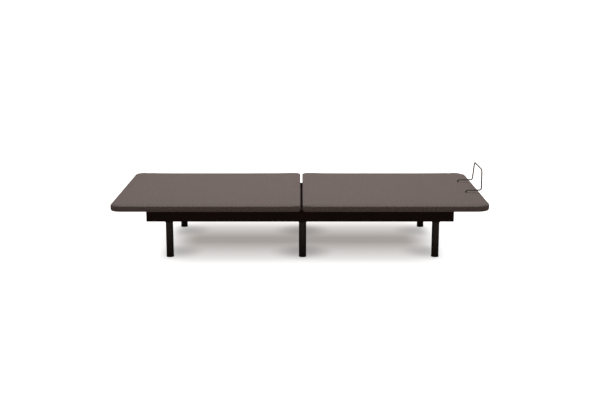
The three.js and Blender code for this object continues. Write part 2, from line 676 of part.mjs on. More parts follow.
const thighNear = SPLIT_FOOT + boardIn;
const thighFar = KNEE_PIVOT_X - BOARD_GAP;
const calfNear = KNEE_PIVOT_X + BOARD_GAP;
const thighNotches = [...notch(thighNear - 1, THIGH_PIVOT_X + 38), ...notch(thighFar - 35, thighFar + 1)];
const calfNotches = notch(calfNear - 1, calfNear + 35);
const barHoles = [barHole(-1), barHole(1)];

add("thigh_board", board(thighNear, thighFar, SPLIT_CORNER - boardIn, 0, thighNotches), BOARD);
add("thigh_pad", pad(SPLIT_FOOT, KNEE_PIVOT_X - KNEE_CREASE, SPLIT_CORNER, 0), FABRIC);
const calfBoard = board(calfNear, FOOT_END - boardIn, 0, FOOT_CORNER - boardIn, calfNotches, barHoles);
add("calf_board", calfBoard, BOARD);
add("calf_pad", pad(KNEE_PIVOT_X + KNEE_CREASE, FOOT_END, 0, FOOT_CORNER, barHoles), FABRIC);

addPair("back_runner", backRunner(), FRAME_PAINT);
addPair("thigh_runner", thighRunner(), FRAME_PAINT);
addPair("calf_bracket", calfBracket(), FRAME_PAINT);
addPair("calf_link", calfLink(), FRAME_PAINT);

const DRIVES = [["head", HEAD_LIFT, HEAD_ACTUATOR], ["foot", FOOT_LIFT, FOOT_ACTUATOR]];
for (const [name, lift, actuator] of DRIVES) {
  const length = actuatorLength(actuator, lift);
  add(name + "_lift_tube", liftTube(lift), FRAME_PAINT);
  addPair(name + "_lift_arm", liftArm(lift), FRAME_PAINT);
  add(name + "_lift_crank", crank(lift, actuator), FRAME_PAINT);
  addPair(name + "_roller", roller(lift), NYLON);
  add(name + "_motor_case", placeActuator(motorCase(), actuator, lift), MOTOR_PLASTIC);
  add(name + "_motor_tube", placeActuator(outerTube(length), actuator, lift), ALUMINIUM);
  add(name + "_motor_rod", placeActuator(rod(length), actuator, lift), STEEL);
}
add("head_motor_mount", motorMount(HEAD_ACTUATOR, -25, 53, CENTER_CROSS.z0 - CLEAR), FRAME_PAINT);
add("foot_motor_mount", motorMount(FOOT_ACTUATOR, -230, -172, BACK_CROSS.z0 - CLEAR), FRAME_PAINT);

add("control_box", controlBox(), MOTOR_PLASTIC);
add("mains_inlet", mainsInlet(), MOTOR_PLASTIC);

add("retainer_bar", retainerBar(), BAR_PAINT);
add("retainer_plate", retainerPlate(), FRAME_PAINT);

export default group;
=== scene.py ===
"""The looks of an adjustable bed base: upholstery, painted steel, plastics, and a plain studio.

Metres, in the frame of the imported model: +X from the head end to the foot end, +Y the sleeper's left, +Z up.
"""
import json
import math

import bmesh
import bpy
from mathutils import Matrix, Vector, noise


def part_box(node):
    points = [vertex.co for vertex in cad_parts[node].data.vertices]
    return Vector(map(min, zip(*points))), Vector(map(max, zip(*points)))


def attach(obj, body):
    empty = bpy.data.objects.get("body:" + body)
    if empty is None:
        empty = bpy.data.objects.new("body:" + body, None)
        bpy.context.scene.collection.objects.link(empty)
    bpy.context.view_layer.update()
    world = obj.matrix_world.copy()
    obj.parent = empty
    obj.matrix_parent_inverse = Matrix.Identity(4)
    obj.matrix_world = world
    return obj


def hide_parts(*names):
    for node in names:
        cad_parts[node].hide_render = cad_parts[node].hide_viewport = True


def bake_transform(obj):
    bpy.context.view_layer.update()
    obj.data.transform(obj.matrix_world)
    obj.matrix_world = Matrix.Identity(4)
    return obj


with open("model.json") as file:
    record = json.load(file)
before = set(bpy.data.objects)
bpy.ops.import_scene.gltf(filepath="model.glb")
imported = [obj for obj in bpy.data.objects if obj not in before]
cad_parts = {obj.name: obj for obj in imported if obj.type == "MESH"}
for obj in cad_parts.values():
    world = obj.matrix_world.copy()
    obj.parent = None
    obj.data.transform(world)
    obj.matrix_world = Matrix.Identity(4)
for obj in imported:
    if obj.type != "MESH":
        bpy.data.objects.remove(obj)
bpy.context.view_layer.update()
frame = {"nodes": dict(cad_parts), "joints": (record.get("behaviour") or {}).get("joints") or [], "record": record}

# ---- Places that come from the frame ----
DECK_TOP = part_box("seat_pad")[1].z
PAD_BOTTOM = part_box("seat_pad")[0].z
BOARD_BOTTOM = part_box("seat_board")[0].z
HALF_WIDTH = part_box("seat_pad")[1].y
HEAD_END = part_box("back_pad")[0].x
SPLIT_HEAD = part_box("seat_pad")[1].x
SPLIT_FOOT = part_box("thigh_pad")[0].x
FOOT_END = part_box("calf_pad")[1].x
PIVOTS = {joint["name"]: Vector(joint["pos_m"]) for joint in frame["joints"] if "pos_m" in joint}
BACK_FOLD_X = PIVOTS["back_hinge"].x
KNEE_FOLD_X = PIVOTS["knee_hinge"].x

# ---- Upholstery ----
HEAD_CORNER = 0.055  # the panels' corner radii, seen from above
FOOT_CORNER = 0.072
SPLIT_CORNER = 0.028
COVER_TOP = DECK_TOP + 0.0025  # the padding stands a little proud
TOP_ROLL = 0.008  # radius of the padded top edge
BOTTOM_ROLL = 0.0085
CLOTH = 0.0012
LIP = 0.026  # how far the cloth turns in under the board
SPLIT_LIP = 0.0072  # and at the slot, where the frame is close under it
LIP_MIDDLE = 0.6  # share of the lip where its one extra line of points is
TOP_INSETS = (0.020, 0.032)  # the first lines on the flat top, counted in from the side
FLAT_INSETS = (0.044, 0.058, 0.070)  # and the next ones, up to the corner patch
HUG = 0.0002  # how close the inside of the cover is to the board
BOARD_GAP = 0.0068  # from the cover's outside to the board's edge
CORNER_PATCH = 0.080  # square patch of the grid that holds a rounded corner
CELL = 0.022  # spacing of the grid's middle lines, and the same near a fold
FOLD_CELL = 0.005
LEAST_CELL = 0.003  # the middle lines are never closer than this
SAME_PLACE = 0.00002  # grid points closer than this are joined
FOLD_REACH = 0.035  # the cover bends within this distance of a fold line
CROWN = 0.0022  # rise of the padding, and the distance from an edge over which it comes
CROWN_EDGE = 0.07
UNEVEN_SCALE = 7.0  # of the slight waves in the stretched cloth
UNEVEN_LAYER = 3.1
UNEVEN_SHARE = 0.35
PUFF_CAP = 0.0025  # the most that the simulated padding may rise
FREE_SHARE = 0.6  # of the top roll: the padding above this is free to swell
SIM_FRAMES = 16

# ---- Frame details ----
RAIL_WALL = 0.0025
LEG_RADIUS = 0.020
LEG_WALL = 0.002
LEG_EDGE = 0.0006  # chamfer at a leg's lower end and on its glide's collar
PLATE_THICK = 0.004
PLATE_CORNER = 0.008
PLATE_EDGE = 0.0007
WELD_BEAD = 0.0028
GLIDE_COLLAR = 0.006
GLIDE_EDGE = 0.0016
GLIDE_PLAY = 0.0004  # between a glide's stem and the tube it is pushed into
GLIDE_TAPER = 0.002
SOLE_RADIUS = 0.012  # the shallow hollow in a glide's sole
SOLE_DEPTH = 0.0006
RIB_COUNT = 3
RIB_START = 0.002
RIB_PITCH = 0.004
RIB_DEPTH = 0.0008
RIB_TOP = (0.001, 0.0025)
PLUG_DEPTH = 0.020
PLUG_RIM = 0.0016
PLUG_CORNER = 0.003
WIRE_RADIUS = 0.00375
WIRE_TOP_HALF = 0.124
WIRE_RISE = 0.021  # centre of the level stretch, above the deck
WIRE_LEAN = 0.005
WIRE_BEND = 0.013
WIRE_TOP_BEND = 0.024
WIRE_BEND_STEPS = 10
EYELET_SINK = 0.0010
EYELET_PLAY = 0.0002
EYELET_TAPER = 0.0012
EYELET_RIM = 0.0034
EYELET_DEPTH = 0.006
EYELET_RISE = 0.0022
EDGE_BEVEL = 0.0009


# ---- Node helpers ----
class Recipe:
    """A node material, built up one node at a time round a Principled shader."""

    def __init__(self, name):
        self.material = bpy.data.materials.new(name)
        self.material.use_nodes = True
        self.tree = self.material.node_tree
        self.shader = self.tree.nodes["Principled BSDF"]

    def add(self, kind, inputs=None, **settings):
        node = self.tree.nodes.new("ShaderNode" + kind)
        for key, value in settings.items():
            setattr(node, key, value)
        for key, value in (inputs or {}).items():
            self.put(node.inputs[key], value)
        return node

    def put(self, socket, value):
        if isinstance(value, bpy.types.NodeSocket):
            self.tree.links.new(value, socket)
        else:
            socket.default_value = value

    def set(self, **sockets):
        for key, value in sockets.items():
            self.put(self.shader.inputs[key.replace("_", " ")], value)

    def math(self, operation, a, b=0.0):
        return self.add("Math", {0: a, 1: b}, operation=operation).outputs[0]

    def ramp(self, factor, low, high, stops=(0.0, 1.0)):
        node = self.add("ValToRGB", {"Fac": factor})
        for element, position, color in zip(node.color_ramp.elements, stops, (low, high)):
            element.position = position
            element.color = (*color, 1.0)
        return node.outputs["Color"]

    def noise(self, vector, scale, detail=3.0, roughness=0.5):
        inputs = {"Vector": vector, "Scale": scale, "Detail": detail, "Roughness": roughness}
        return self.add("TexNoise", inputs).outputs["Fac"]

    def stretched(self, vector, scale):
        return self.add("Mapping", {"Vector": vector, "Scale": scale}).outputs["Vector"]

    def mixed(self, factor, a, b, blend="MIX"):
        node = self.add("Mix", data_type="RGBA", blend_type=blend)
        self.put(node.inputs["Factor"], factor)
        self.put(node.inputs[6], a)
        self.put(node.inputs[7], b)
        return node.outputs[2]

    def scaled(self, value, low, high, span=(0.0, 1.0)):
        """low to high as the value goes through the span."""
        inputs = {"Value": value, "From Min": span[0], "From Max": span[1], "To Min": low, "To Max": high}
        return self.add("MapRange", inputs).outputs["Result"]

    def faded(self, value, span, smooth=False):
        """0 to 1 as the value goes through the span."""
        kind = "SMOOTHSTEP" if smooth else "LINEAR"
        inputs = {"Value": value, "From Min": span[0], "From Max": span[1]}
        return self.add("MapRange", inputs, interpolation_type=kind).outputs["Result"]

    def bump(self, height, strength, distance, normal=None):
        inputs = {"Height": height, "Strength": strength, "Distance": distance}
        if normal:
            inputs["Normal"] = normal
        return self.add("Bump", inputs).outputs["Normal"]

    def object_place(self):
        return self.add("TexCoord").outputs["Object"]


def shade(color, factor):
    return tuple(channel * factor for channel in color)


# ---- Materials ----
FABRIC_COLOR = (0.150, 0.1175, 0.1075)
THREAD_PITCH = 0.0017


def fabric_material():
    """A plain weave of flecked yarns, with painted shade in its hollows and painted light on its raised threads.
    It reads the cloth's own flat coordinates, kept on each vertex.
    """
    r = Recipe("fabric_melange")
    place = r.add("Attribute", attribute_name="cloth_place").outputs["Vector"]
    axes = r.add("SeparateXYZ", {"Vector": place})
    turns = 2 * math.pi / THREAD_PITCH
    warp = r.math("SINE", r.math("MULTIPLY", axes.outputs["X"], turns))
    weft = r.math("SINE", r.math("MULTIPLY", axes.outputs["Y"], turns))
    over = r.math("MULTIPLY", warp, weft)
    height = r.scaled(over, 0.0, 1.0, span=(-1.0, 1.0))

    long_yarn = r.noise(r.stretched(place, (38.0, 620.0, 1.0)), 1.0, 2.0)
    cross_yarn = r.noise(r.stretched(place, (620.0, 38.0, 1.0)), 1.0, 2.0)
    on_top = r.math("GREATER_THAN", over, 0.0)
    yarn = r.add("Mix", {"Factor": on_top, "A": long_yarn, "B": cross_yarn}).outputs["Result"]
    fleck = r.noise(place, 120.0, 4.0, 0.7)
    cloud = r.noise(place, 7.0, 2.0)

    light = shade(FABRIC_COLOR, 1.38)
    dark = shade(FABRIC_COLOR, 0.64)
    color = r.ramp(yarn, dark, light, (0.30, 0.70))
    flecks = r.ramp(fleck, shade(FABRIC_COLOR, 0.50), shade(FABRIC_COLOR, 1.55), (0.36, 0.64))
    color = r.mixed(0.60, color, flecks)
    # Painted shade in the weave's hollows and painted light on its raised threads, from the weave's height
    weave_shade_paint = r.ramp(height, (0.80, 0.79, 0.78), (1.06, 1.06, 1.06))
    color = r.mixed(0.9, color, weave_shade_paint, "MULTIPLY")
    color = r.mixed(0.8, color, r.ramp(cloud, (0.95, 0.95, 0.955), (1.05, 1.045, 1.04)), "MULTIPLY")

    fuzz = r.noise(place, 1500.0, 2.0)
    r.set(Base_Color=color, Roughness=r.scaled(yarn, 0.86, 0.98), Specular_IOR_Level=0.18)
    r.set(Sheen_Weight=0.10, Sheen_Roughness=0.6, Sheen_Tint=(0.75, 0.68, 0.64, 1.0))
    woven = r.bump(height, 0.55, 0.00035)
    r.set(Normal=r.bump(fuzz, 0.25, 0.0002, woven))
    return r.material


def paint_material(name, color, roughness, gloss, dust_height=None):
    """Powder coat: fine orange peel, faint scuffs and, low down, a little dust."""
    r = Recipe(name)
    place = r.object_place()
    peel = r.noise(place, 900.0, 2.0)
    drift = r.noise(place, 6.0, 3.0)
    scuffs = r.noise(r.stretched(place, (14.0, 160.0, 160.0)), 1.0, 5.0, 0.72)
    tone = r.ramp(drift, shade(color, 0.85), shade(color, 1.2), (0.35, 0.65))
    worn = r.ramp(scuffs, (0, 0, 0), (1, 1, 1), (0.66, 0.78))
    tone = r.mixed(r.math("MULTIPLY", worn, 0.25), tone, (*shade(color, 3.2), 1.0))
    if dust_height:
        height = r.add("SeparateXYZ", {"Vector": place}).outputs["Z"]
        low = r.scaled(height, 0.30, 0.0, span=(0.0, dust_height))
        patchy = r.math("MULTIPLY", low, r.noise(place, 60.0, 4.0))
        tone = r.mixed(patchy, tone, (0.05, 0.046, 0.042, 1.0))
    r.set(Base_Color=tone, Roughness=r.scaled(drift, roughness - 0.07, roughness + 0.10))
    r.set(Specular_IOR_Level=gloss, Normal=r.bump(peel, 0.35, 0.00018))
    return r.material


def board_material():
    """Beech plywood: long grain, pores and a slight colour change from sheet to sheet."""
    r = Recipe("board_plywood")
    place = r.object_place()
    grain = r.noise(r.stretched(place, (3.0, 70.0, 70.0)), 1.0, 5.0, 0.6)
    pores = r.noise(r.stretched(place, (60.0, 900.0, 900.0)), 1.0, 2.0)
    color = r.ramp(grain, (0.20, 0.125, 0.068), (0.36, 0.25, 0.155), (0.3, 0.72))
    color = r.mixed(r.math("MULTIPLY", pores, 0.3), color, (0.12, 0.07, 0.035, 1.0))
    r.set(Base_Color=color, Roughness=r.scaled(grain, 0.62, 0.80), Specular_IOR_Level=0.3)
    r.set(Normal=r.bump(pores, 0.3, 0.0002))
    return r.material


def plastic_material(name, color, roughness, grit, speckle=0.12):
    """Moulded plastic with a spark-eroded texture."""
    r = Recipe(name)
    place = r.object_place()
    texture = r.add("TexVoronoi", {"Vector": place, "Scale": grit}).outputs["Distance"]
    cloud = r.noise(place, 18.0, 3.0)
    tone = r.ramp(cloud, shade(color, 1 - speckle), shade(color, 1 + speckle), (0.3, 0.7))
    r.set(Base_Color=tone, Roughness=r.scaled(cloud, roughness - 0.05, roughness + 0.08))
    r.set(Normal=r.bump(texture, 0.3, 0.00015))
    return r.material


def metal_material(name, color, roughness, brush):
    """Bare metal with uneven roughness. The three scales in brush set which way its lines run."""
    r = Recipe(name)
    place = r.object_place()
    lines = r.noise(r.stretched(place, brush), 1.0, 3.0, 0.6)
    stain = r.noise(place, 25.0, 4.0)
    tone = r.ramp(lines, shade(color, 0.82), shade(color, 1.1), (0.3, 0.7))
    r.set(Base_Color=tone, Metallic=1.0, Roughness=r.scaled(stain, roughness - 0.06, roughness + 0.14))
    r.set(Normal=r.bump(lines, 0.2, 0.0001))
    return r.material


def rubber_material():
    r = Recipe("rubber_matt")
    place = r.object_place()
    dust = r.noise(place, 140.0, 4.0, 0.7)
    tone = r.ramp(dust, (0.009, 0.009, 0.009), (0.022, 0.021, 0.020), (0.4, 0.75))
    r.set(Base_Color=tone, Roughness=r.scaled(dust, 0.72, 0.92), Specular_IOR_Level=0.25)
    r.set(Normal=r.bump(dust, 0.2, 0.0002))
    return r.material


MATERIALS = {
    "deck_fabric": fabric_material(),
    "deck_board": board_material(),
    "frame_paint": paint_material("frame_powder_coat", (0.0205, 0.0100, 0.0078), 0.55, 0.09),
    "leg_paint": paint_material("leg_powder_coat", (0.0330, 0.0275, 0.0220), 0.40, 0.30, dust_height=0.03),
    "motor_plastic": plastic_material("motor_moulding", (0.020, 0.020, 0.022), 0.52, 1400.0),
    "aluminium": metal_material("tube_aluminium", (0.60, 0.61, 0.62), 0.34, (12.0, 900.0, 900.0)),
    "steel": metal_material("ground_steel", (0.50, 0.51, 0.52), 0.24, (700.0, 40.0, 40.0)),
    "rubber": rubber_material(),
    "nylon": plastic_material("roller_nylon", (0.60, 0.59, 0.55), 0.42, 900.0, 0.05),
    "bar_paint": paint_material("bar_coat", (0.020, 0.015, 0.013), 0.30, 0.75),
}


# ---- Piece helpers ----
def piece_from(name, bm, body, slot):
    """A finished piece from a bmesh, on its body and with its slot's material."""
    bmesh.ops.recalc_face_normals(bm, faces=bm.faces)
    mesh = bpy.data.meshes.new(name)
    bm.to_mesh(mesh)
    bm.free()
    for polygon in mesh.polygons:
        polygon.use_smooth = True
    mesh.materials.append(MATERIALS[slot])
    piece = bpy.data.objects.new(name, mesh)
    bpy.context.scene.collection.objects.link(piece)
    if body:
        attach(piece, body)
    return piece


ON_AXIS = 1e-6


def turn_profile(bm, profile, centre, sides):
    """A solid of revolution about a vertical axis, from a profile of (radius, height).

    The profile starts and ends on the axis, or else is closed by joining its ends.
    """
    rings = []
    for radius, height in profile:
        if radius < ON_AXIS:
            rings.append([bm.verts.new((*centre, height))] * sides)
            continue
        angles = [2 * math.pi * k / sides for k in range(sides)]
        flat = [(centre[0] + radius * math.cos(a), centre[1] + radius * math.sin(a)) for a in angles]
        rings.append([bm.verts.new((*place, height)) for place in flat])
    pairs = list(zip(rings, rings[1:]))
    if profile[0][0] >= ON_AXIS:
        pairs.append((rings[-1], rings[0]))
    for lower, upper in pairs:
        for k in range(sides):
            corners = [lower[k], lower[(k + 1) % sides], upper[(k + 1) % sides], upper[k]]
            bm.faces.new(list(dict.fromkeys(corners)))


def rounded(corner_radius, x, y, steps=5):
    """The corner points of a rectangle of half sizes x and y, with rounded corners."""
    points = []
    for quarter, (sx, sy) in enumerate([(1, 1), (-1, 1), (-1, -1), (1, -1)]):
        for k in range(steps + 1):
            a = (quarter + k / steps) * math.pi / 2
            cx, cy = sx * (x - corner_radius), sy * (y - corner_radius)
            points.append((cx + corner_radius * math.cos(a), cy + corner_radius * math.sin(a)))
    return points


def loft(bm, sections):
    """Closed skin through sections with the same number of points, capped at both ends."""
    loops = [[bm.verts.new(point) for point in section] for section in sections]
    for lower, upper in zip(loops, loops[1:]):
        for k in range(len(lower)):
            m = (k + 1) % len(lower)
            bm.faces.new((lower[k], lower[m], upper[m], upper[k]))
    bm.faces.new(loops[0][::-1])
    bm.faces.new(loops[-1])


# ---- Carried-over CAD pieces: softened edges, smooth rounds ----
def smoothing_group(angle):
    group = bpy.data.node_groups.new("smooth_rounds", "GeometryNodeTree")
    group.interface.new_socket("Geometry", in_out="INPUT", socket_type="NodeSocketGeometry")
    group.interface.new_socket("Geometry", in_out="OUTPUT", socket_type="NodeSocketGeometry")
    start = group.nodes.new("NodeGroupInput")
    end = group.nodes.new("NodeGroupOutput")
    faces = group.nodes.new("GeometryNodeSetShadeSmooth")
    faces.domain = "FACE"
    edges = group.nodes.new("GeometryNodeSetShadeSmooth")
    edges.domain = "EDGE"
    edges.inputs["Shade Smooth"].default_value = False
    fold = group.nodes.new("GeometryNodeInputMeshEdgeAngle")
    sharp = group.nodes.new("ShaderNodeMath")
    sharp.operation = "GREATER_THAN"
    sharp.inputs[1].default_value = angle
    link = group.links.new
    link(start.outputs[0], faces.inputs["Geometry"])
    link(faces.outputs[0], edges.inputs["Geometry"])
    link(fold.outputs["Unsigned Angle"], sharp.inputs[0])
    link(sharp.outputs[0], edges.inputs["Selection"])
    link(edges.outputs[0], end.inputs[0])
    return group


SMOOTH_ROUNDS = smoothing_group(math.radians(50))


def sharpen(piece):
    """Rounds stay smooth, and edges past the group's angle are shaded sharp."""
    piece.modifiers.new("smooth_rounds", "NODES").node_group = SMOOTH_ROUNDS


def soften(node, width):
    """Edges get a small radius by modifiers; the node's own mesh stays as it is."""
    node.modifiers.new("join_corners", "WELD").merge_threshold = 0.00002
    flatten = node.modifiers.new("flat_faces", "DECIMATE")
    flatten.decimate_type = "DISSOLVE"
    flatten.angle_limit = math.radians(1)
    bevel = node.modifiers.new("edge_radius", "BEVEL")
    bevel.width = width
    bevel.segments = 2
    bevel.limit_method = "ANGLE"
    bevel.angle_limit = math.radians(40)
    node.modifiers.new("smooth_rounds", "NODES").node_group = SMOOTH_ROUNDS
    node.modifiers.new("flat_shading", "WEIGHTED_NORMAL").keep_sharp = True


def finish_cad_nodes():
    for row in frame["record"]["subparts"]:
        node = frame["nodes"][row["node"]]
        material = MATERIALS[row["material_slot"]]
        if not node.material_slots:
            node.data.materials.append(material)
        for material_slot in node.material_slots:
            material_slot.material = material
        soften(node, EDGE_BEVEL)


# ---- The two covers ----
def outer_profile():
    """(inset, height) of the cover's outside, from the lip under the board to the flat top."""
    low = BOARD_BOTTOM - CLOTH
    points = [(LIP, low), (LIP * LIP_MIDDLE, low)]
    for k in range(4):
        a = k / 3 * math.pi / 2
        points.append((BOTTOM_ROLL * (1 - math.sin(a)), low + BOTTOM_ROLL * (1 - math.cos(a))))
    middle = (low + BOTTOM_ROLL + COVER_TOP - TOP_ROLL) / 2
    points.append((0.0, middle))
    for k in range(7):
        a = k / 6 * math.pi / 2
        points.append((TOP_ROLL * (1 - math.cos(a)), COVER_TOP - TOP_ROLL * (1 - math.sin(a))))
    points += [(inset, COVER_TOP) for inset in TOP_INSETS]
    return points


def inner_profile(outer):
    """The inside of the cover, point for point: it hugs the board."""
    under, over = BOARD_BOTTOM - HUG, PAD_BOTTOM + HUG / 2
    points = []
    for inset, height in outer:
        if height <= BOARD_BOTTOM - CLOTH + 1e-7:
            points.append((max(inset, BOARD_GAP), under))
        else:
            rolled = inset > 0 and height > (under + over) / 2
            points.append((max(inset, BOARD_GAP), over if rolled else min(max(height, under), over)))
    return points


def lines_between(start, end, fold=None):
    """Grid positions from start to end, closer together round a fold line."""
    places = [start]
    while places[-1] < end - 1e-9:
        here = places[-1]
        near = fold is not None and abs(here + FOLD_CELL / 2 - fold) < FOLD_REACH + FOLD_CELL
        step = FOLD_CELL if near else CELL
        if fold is not None and here + LEAST_CELL < fold - FOLD_REACH < here + step:
            step = fold - FOLD_REACH - here
        places.append(min(here + step, end))
    if places[-1] - places[-2] < LEAST_CELL:
        del places[-2]
    return places[1:-1]


def corner_place(k, m, lengths, inset, radius):
    """Where a corner patch's grid point is, as insets along and across: ring k, line m of the same patch."""
    centre = max(radius, inset)
    bend = max(centre - inset, 0.0)
    arc = bend * math.pi / 4
    total = arc + CORNER_PATCH - centre
    share = (lengths[m] - lengths[k]) / (lengths[-1] - lengths[k])
    s = share * total
    if s < arc:
        a = math.pi / 4 - s / bend
        return centre - bend * math.sin(a), centre - bend * math.cos(a)
    return centre + s - arc, inset


class CoverGrid:
    """A rectangular sheet of grid points laid over one half of the deck."""

    def __init__(self, x0, x1, radius0, radius1, fold, split_end):
        self.x0, self.x1 = x0, x1
        self.radii = (radius0, radius1)
        self.split_end = split_end  # 0 or 1: which end is at the slot
        self.outer = outer_profile()
        self.inner = inner_profile(self.outer)
        self.flat_insets = [*FLAT_INSETS, CORNER_PATCH]
        lengths = [0.0]
        for (a, b), (c, d) in zip(self.outer, self.outer[1:]):
            lengths.append(lengths[-1] + math.hypot(c - a, d - b))
        insets = [self.outer[-1][0], *self.flat_insets]
        for near, far in zip(insets, insets[1:]):
            lengths.append(lengths[-1] + far - near)
        self.lengths = lengths
        self.edge = len(lengths)
        self.xs = lines_between(x0 + CORNER_PATCH, x1 - CORNER_PATCH, fold)
        self.ys = lines_between(-HALF_WIDTH + CORNER_PATCH, HALF_WIDTH - CORNER_PATCH)
        self.nx = 2 * self.edge + len(self.xs)
        self.ny = 2 * self.edge + len(self.ys)

    def ring(self, k, profile):
        """Inset and height of ring k, counted in from the lip."""
        if k < len(profile):
            return profile[k]
        return self.flat_insets[k - len(profile)], profile[-1][1]

    def from_end(self, i, count):
        """(which end, how many lines in) or None in the middle."""
        if i < self.edge:
            return 0, i
        if i >= count - self.edge:
            return 1, count - 1 - i
        return None

    def place(self, i, j, profile):
        along, across = self.from_end(i, self.nx), self.from_end(j, self.ny)
        if along is None and across is None:
            return self.xs[i - self.edge], self.ys[j - self.edge], profile[-1][1]
        if across is None:
            inset, height = self.ring(along[1], profile)
            inset = self.clipped(inset, along, height)
            return self.x_at(along[0], inset), self.ys[j - self.edge], height
        if along is None:
            inset, height = self.ring(across[1], profile)
            return self.xs[i - self.edge], self.y_at(across[0], inset), height
        k, m = min(along[1], across[1]), max(along[1], across[1])
        inset, height = self.ring(k, profile)
        if k == self.edge - 1:
            a = b = CORNER_PATCH
        else:
            a, b = corner_place(k, m, self.lengths, inset, self.radii[along[0]])
        if along[1] < across[1]:
            a, b = b, a
        if along[1] <= across[1]:
            a = self.clipped(a, along, height)
        return self.x_at(along[0], a), self.y_at(across[0], b), height

    def clipped(self, inset, along, height):
        under = height < BOARD_BOTTOM
        return min(inset, SPLIT_LIP) if under and along[0] == self.split_end else inset

    def x_at(self, end, inset):
        return self.x1 - inset if end else self.x0 + inset

    def y_at(self, side, inset):
        return HALF_WIDTH - inset if side else inset - HALF_WIDTH

    def cloth_place(self, i, j):
        """Flat coordinates of the cloth, in metres: along and across the weave."""
        along = self.flat_place(i, self.nx, self.xs, self.x0 + CORNER_PATCH, self.x1 - CORNER_PATCH)
        reach = HALF_WIDTH - CORNER_PATCH
        return along, self.flat_place(j, self.ny, self.ys, -reach, reach)

    def flat_place(self, index, count, middle, start, end):
        found = self.from_end(index, count)
        if found is None:
            return middle[index - self.edge]
        over = self.lengths[-1] - self.lengths[found[1]]
        return end + over if found[0] else start - over


def crown_at(x, y, x0, x1):
    """How far the padding stands above the flat, with the slight unevenness of stretched cloth."""
    edge = min(x - x0, x1 - x, HALF_WIDTH - abs(y))
    full = 1 - math.exp(-max(edge - TOP_ROLL, 0) / CROWN_EDGE)
    uneven = noise.noise(Vector((x * UNEVEN_SCALE, y * UNEVEN_SCALE, UNEVEN_LAYER)))
    return CROWN * full * (1 + UNEVEN_SHARE * uneven)


def cover_mesh(grid):
    bm = bmesh.new()
    flat = bm.verts.layers.float_vector.new("cloth_place")
    sheets = []
    for profile in (grid.outer, grid.inner):
        rows = []
        for i in range(grid.nx):
            row = []
            for j in range(grid.ny):
                x, y, z = grid.place(i, j, profile)
                vertex = bm.verts.new((x, y, z))
                vertex[flat] = (*grid.cloth_place(i, j), 0.0)
                row.append(vertex)
            rows.append(row)
        sheets.append(rows)
    for rows in sheets[0]:
        for vertex in rows:
            if vertex.co.z > COVER_TOP - 1e-6:
                vertex.co.z += crown_at(vertex.co.x, vertex.co.y, grid.x0, grid.x1)
    for rows in sheets:
        for i in range(grid.nx - 1):
            for j in range(grid.ny - 1):
                bm.faces.new((rows[i][j], rows[i + 1][j], rows[i + 1][j + 1], rows[i][j + 1]))
    border = [(i, 0) for i in range(grid.nx)]
    border += [(grid.nx - 1, j) for j in range(1, grid.ny)]
    border += [(i, grid.ny - 1) for i in range(grid.nx - 2, -1, -1)]
    border += [(0, j) for j in range(grid.ny - 2, 0, -1)]
    outside, inside = sheets
    for (i, j), (m, n) in zip(border, border[1:] + border[:1]):
        bm.faces.new((outside[i][j], outside[m][n], inside[m][n], inside[i][j]))
    # Where the inside hugs the board, and where the lip is cut short, grid points coincide
    bmesh.ops.remove_doubles(bm, verts=bm.verts, dist=SAME_PLACE)
    bmesh.ops.dissolve_degenerate(bm, edges=bm.edges, dist=SAME_PLACE)
    return bm


def puff(piece):
    """A short cloth simulation under pressure, pinned wherever the cover hugs its board."""
    points = [vertex.co.copy() for vertex in piece.data.vertices]
    held = piece.vertex_groups.new(name="held")
    free_from = COVER_TOP - TOP_ROLL * FREE_SHARE
    for index, point in enumerate(points):
        held.add([index], 0.0 if point.z > free_from else 1.0, "REPLACE")
    cloth = piece.modifiers.new("padding", "CLOTH")
    settings = cloth.settings
    settings.quality = 5
    settings.mass = 0.4
    settings.tension_stiffness = 30
    settings.compression_stiffness = 30
    settings.bending_stiffness = 4
    settings.use_pressure = True
    settings.uniform_pressure_force = 3.0
    settings.vertex_group_mass = "held"
    settings.effector_weights.gravity = 0
    cloth.collision_settings.use_collision = False
    cloth.point_cache.frame_start = 1
    cloth.point_cache.frame_end = SIM_FRAMES
    scene = bpy.context.scene
    for frame_number in range(1, SIM_FRAMES + 1):
        scene.frame_set(frame_number)
    graph = bpy.context.evaluated_depsgraph_get()
    shaped = [vertex.co.copy() for vertex in piece.evaluated_get(graph).data.vertices]
    piece.modifiers.remove(cloth)
    piece.vertex_groups.remove(held)
    scene.frame_set(1)
    for vertex, before, after in zip(piece.data.vertices, points, shaped):
        rise = after - before
        if rise.length > PUFF_CAP:
            rise *= PUFF_CAP / rise.length
        vertex.co = before + rise


def cover(name, nodes, grid):
    piece = piece_from(name, cover_mesh(grid), None, "deck_fabric")
    puff(piece)
    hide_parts(*nodes)
    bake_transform(piece)


def make_covers():
    head = CoverGrid(HEAD_END, SPLIT_HEAD, HEAD_CORNER, SPLIT_CORNER, BACK_FOLD_X, 1)
    cover("head_cover", ("back_pad", "seat_pad"), head)
    foot = CoverGrid(SPLIT_FOOT, FOOT_END, SPLIT_CORNER, FOOT_CORNER, KNEE_FOLD_X, 0)
    cover("foot_cover", ("thigh_pad", "calf_pad"), foot)


# ---- Staples that hold the cloth under the boards ----
STAPLE = {"width": 0.010, "wire": 0.0006, "pitch": 0.055, "inset": 0.017}
STAPLE_BITE = 0.0004  # how far a staple's top is sunk in the cloth
STAPLE_LAYERS = ((0.6, 1.0), (1.2, 0.75))  # depth below the cloth, in wires, and width there
STAPLE_FOLD_GAP = 0.015  # between the stretch that bends and the nearest staple


def staple(bm, x, y, turned):
    half = STAPLE["width"] / 2
    wire = STAPLE["wire"]
    z = BOARD_BOTTOM - CLOTH
    sections = []
    layers = [(z + STAPLE_BITE, 1.0)] + [(z - wire * depth, share) for depth, share in STAPLE_LAYERS]
    for height, share in layers:
        half_x, half_y = (wire * share, half) if turned else (half, wire * share)
        corners = rounded(wire * 0.6 * share, half_x, half_y, 2)
        sections.append([(x + a, y + b, height) for a, b in corners])
    loft(bm, sections)


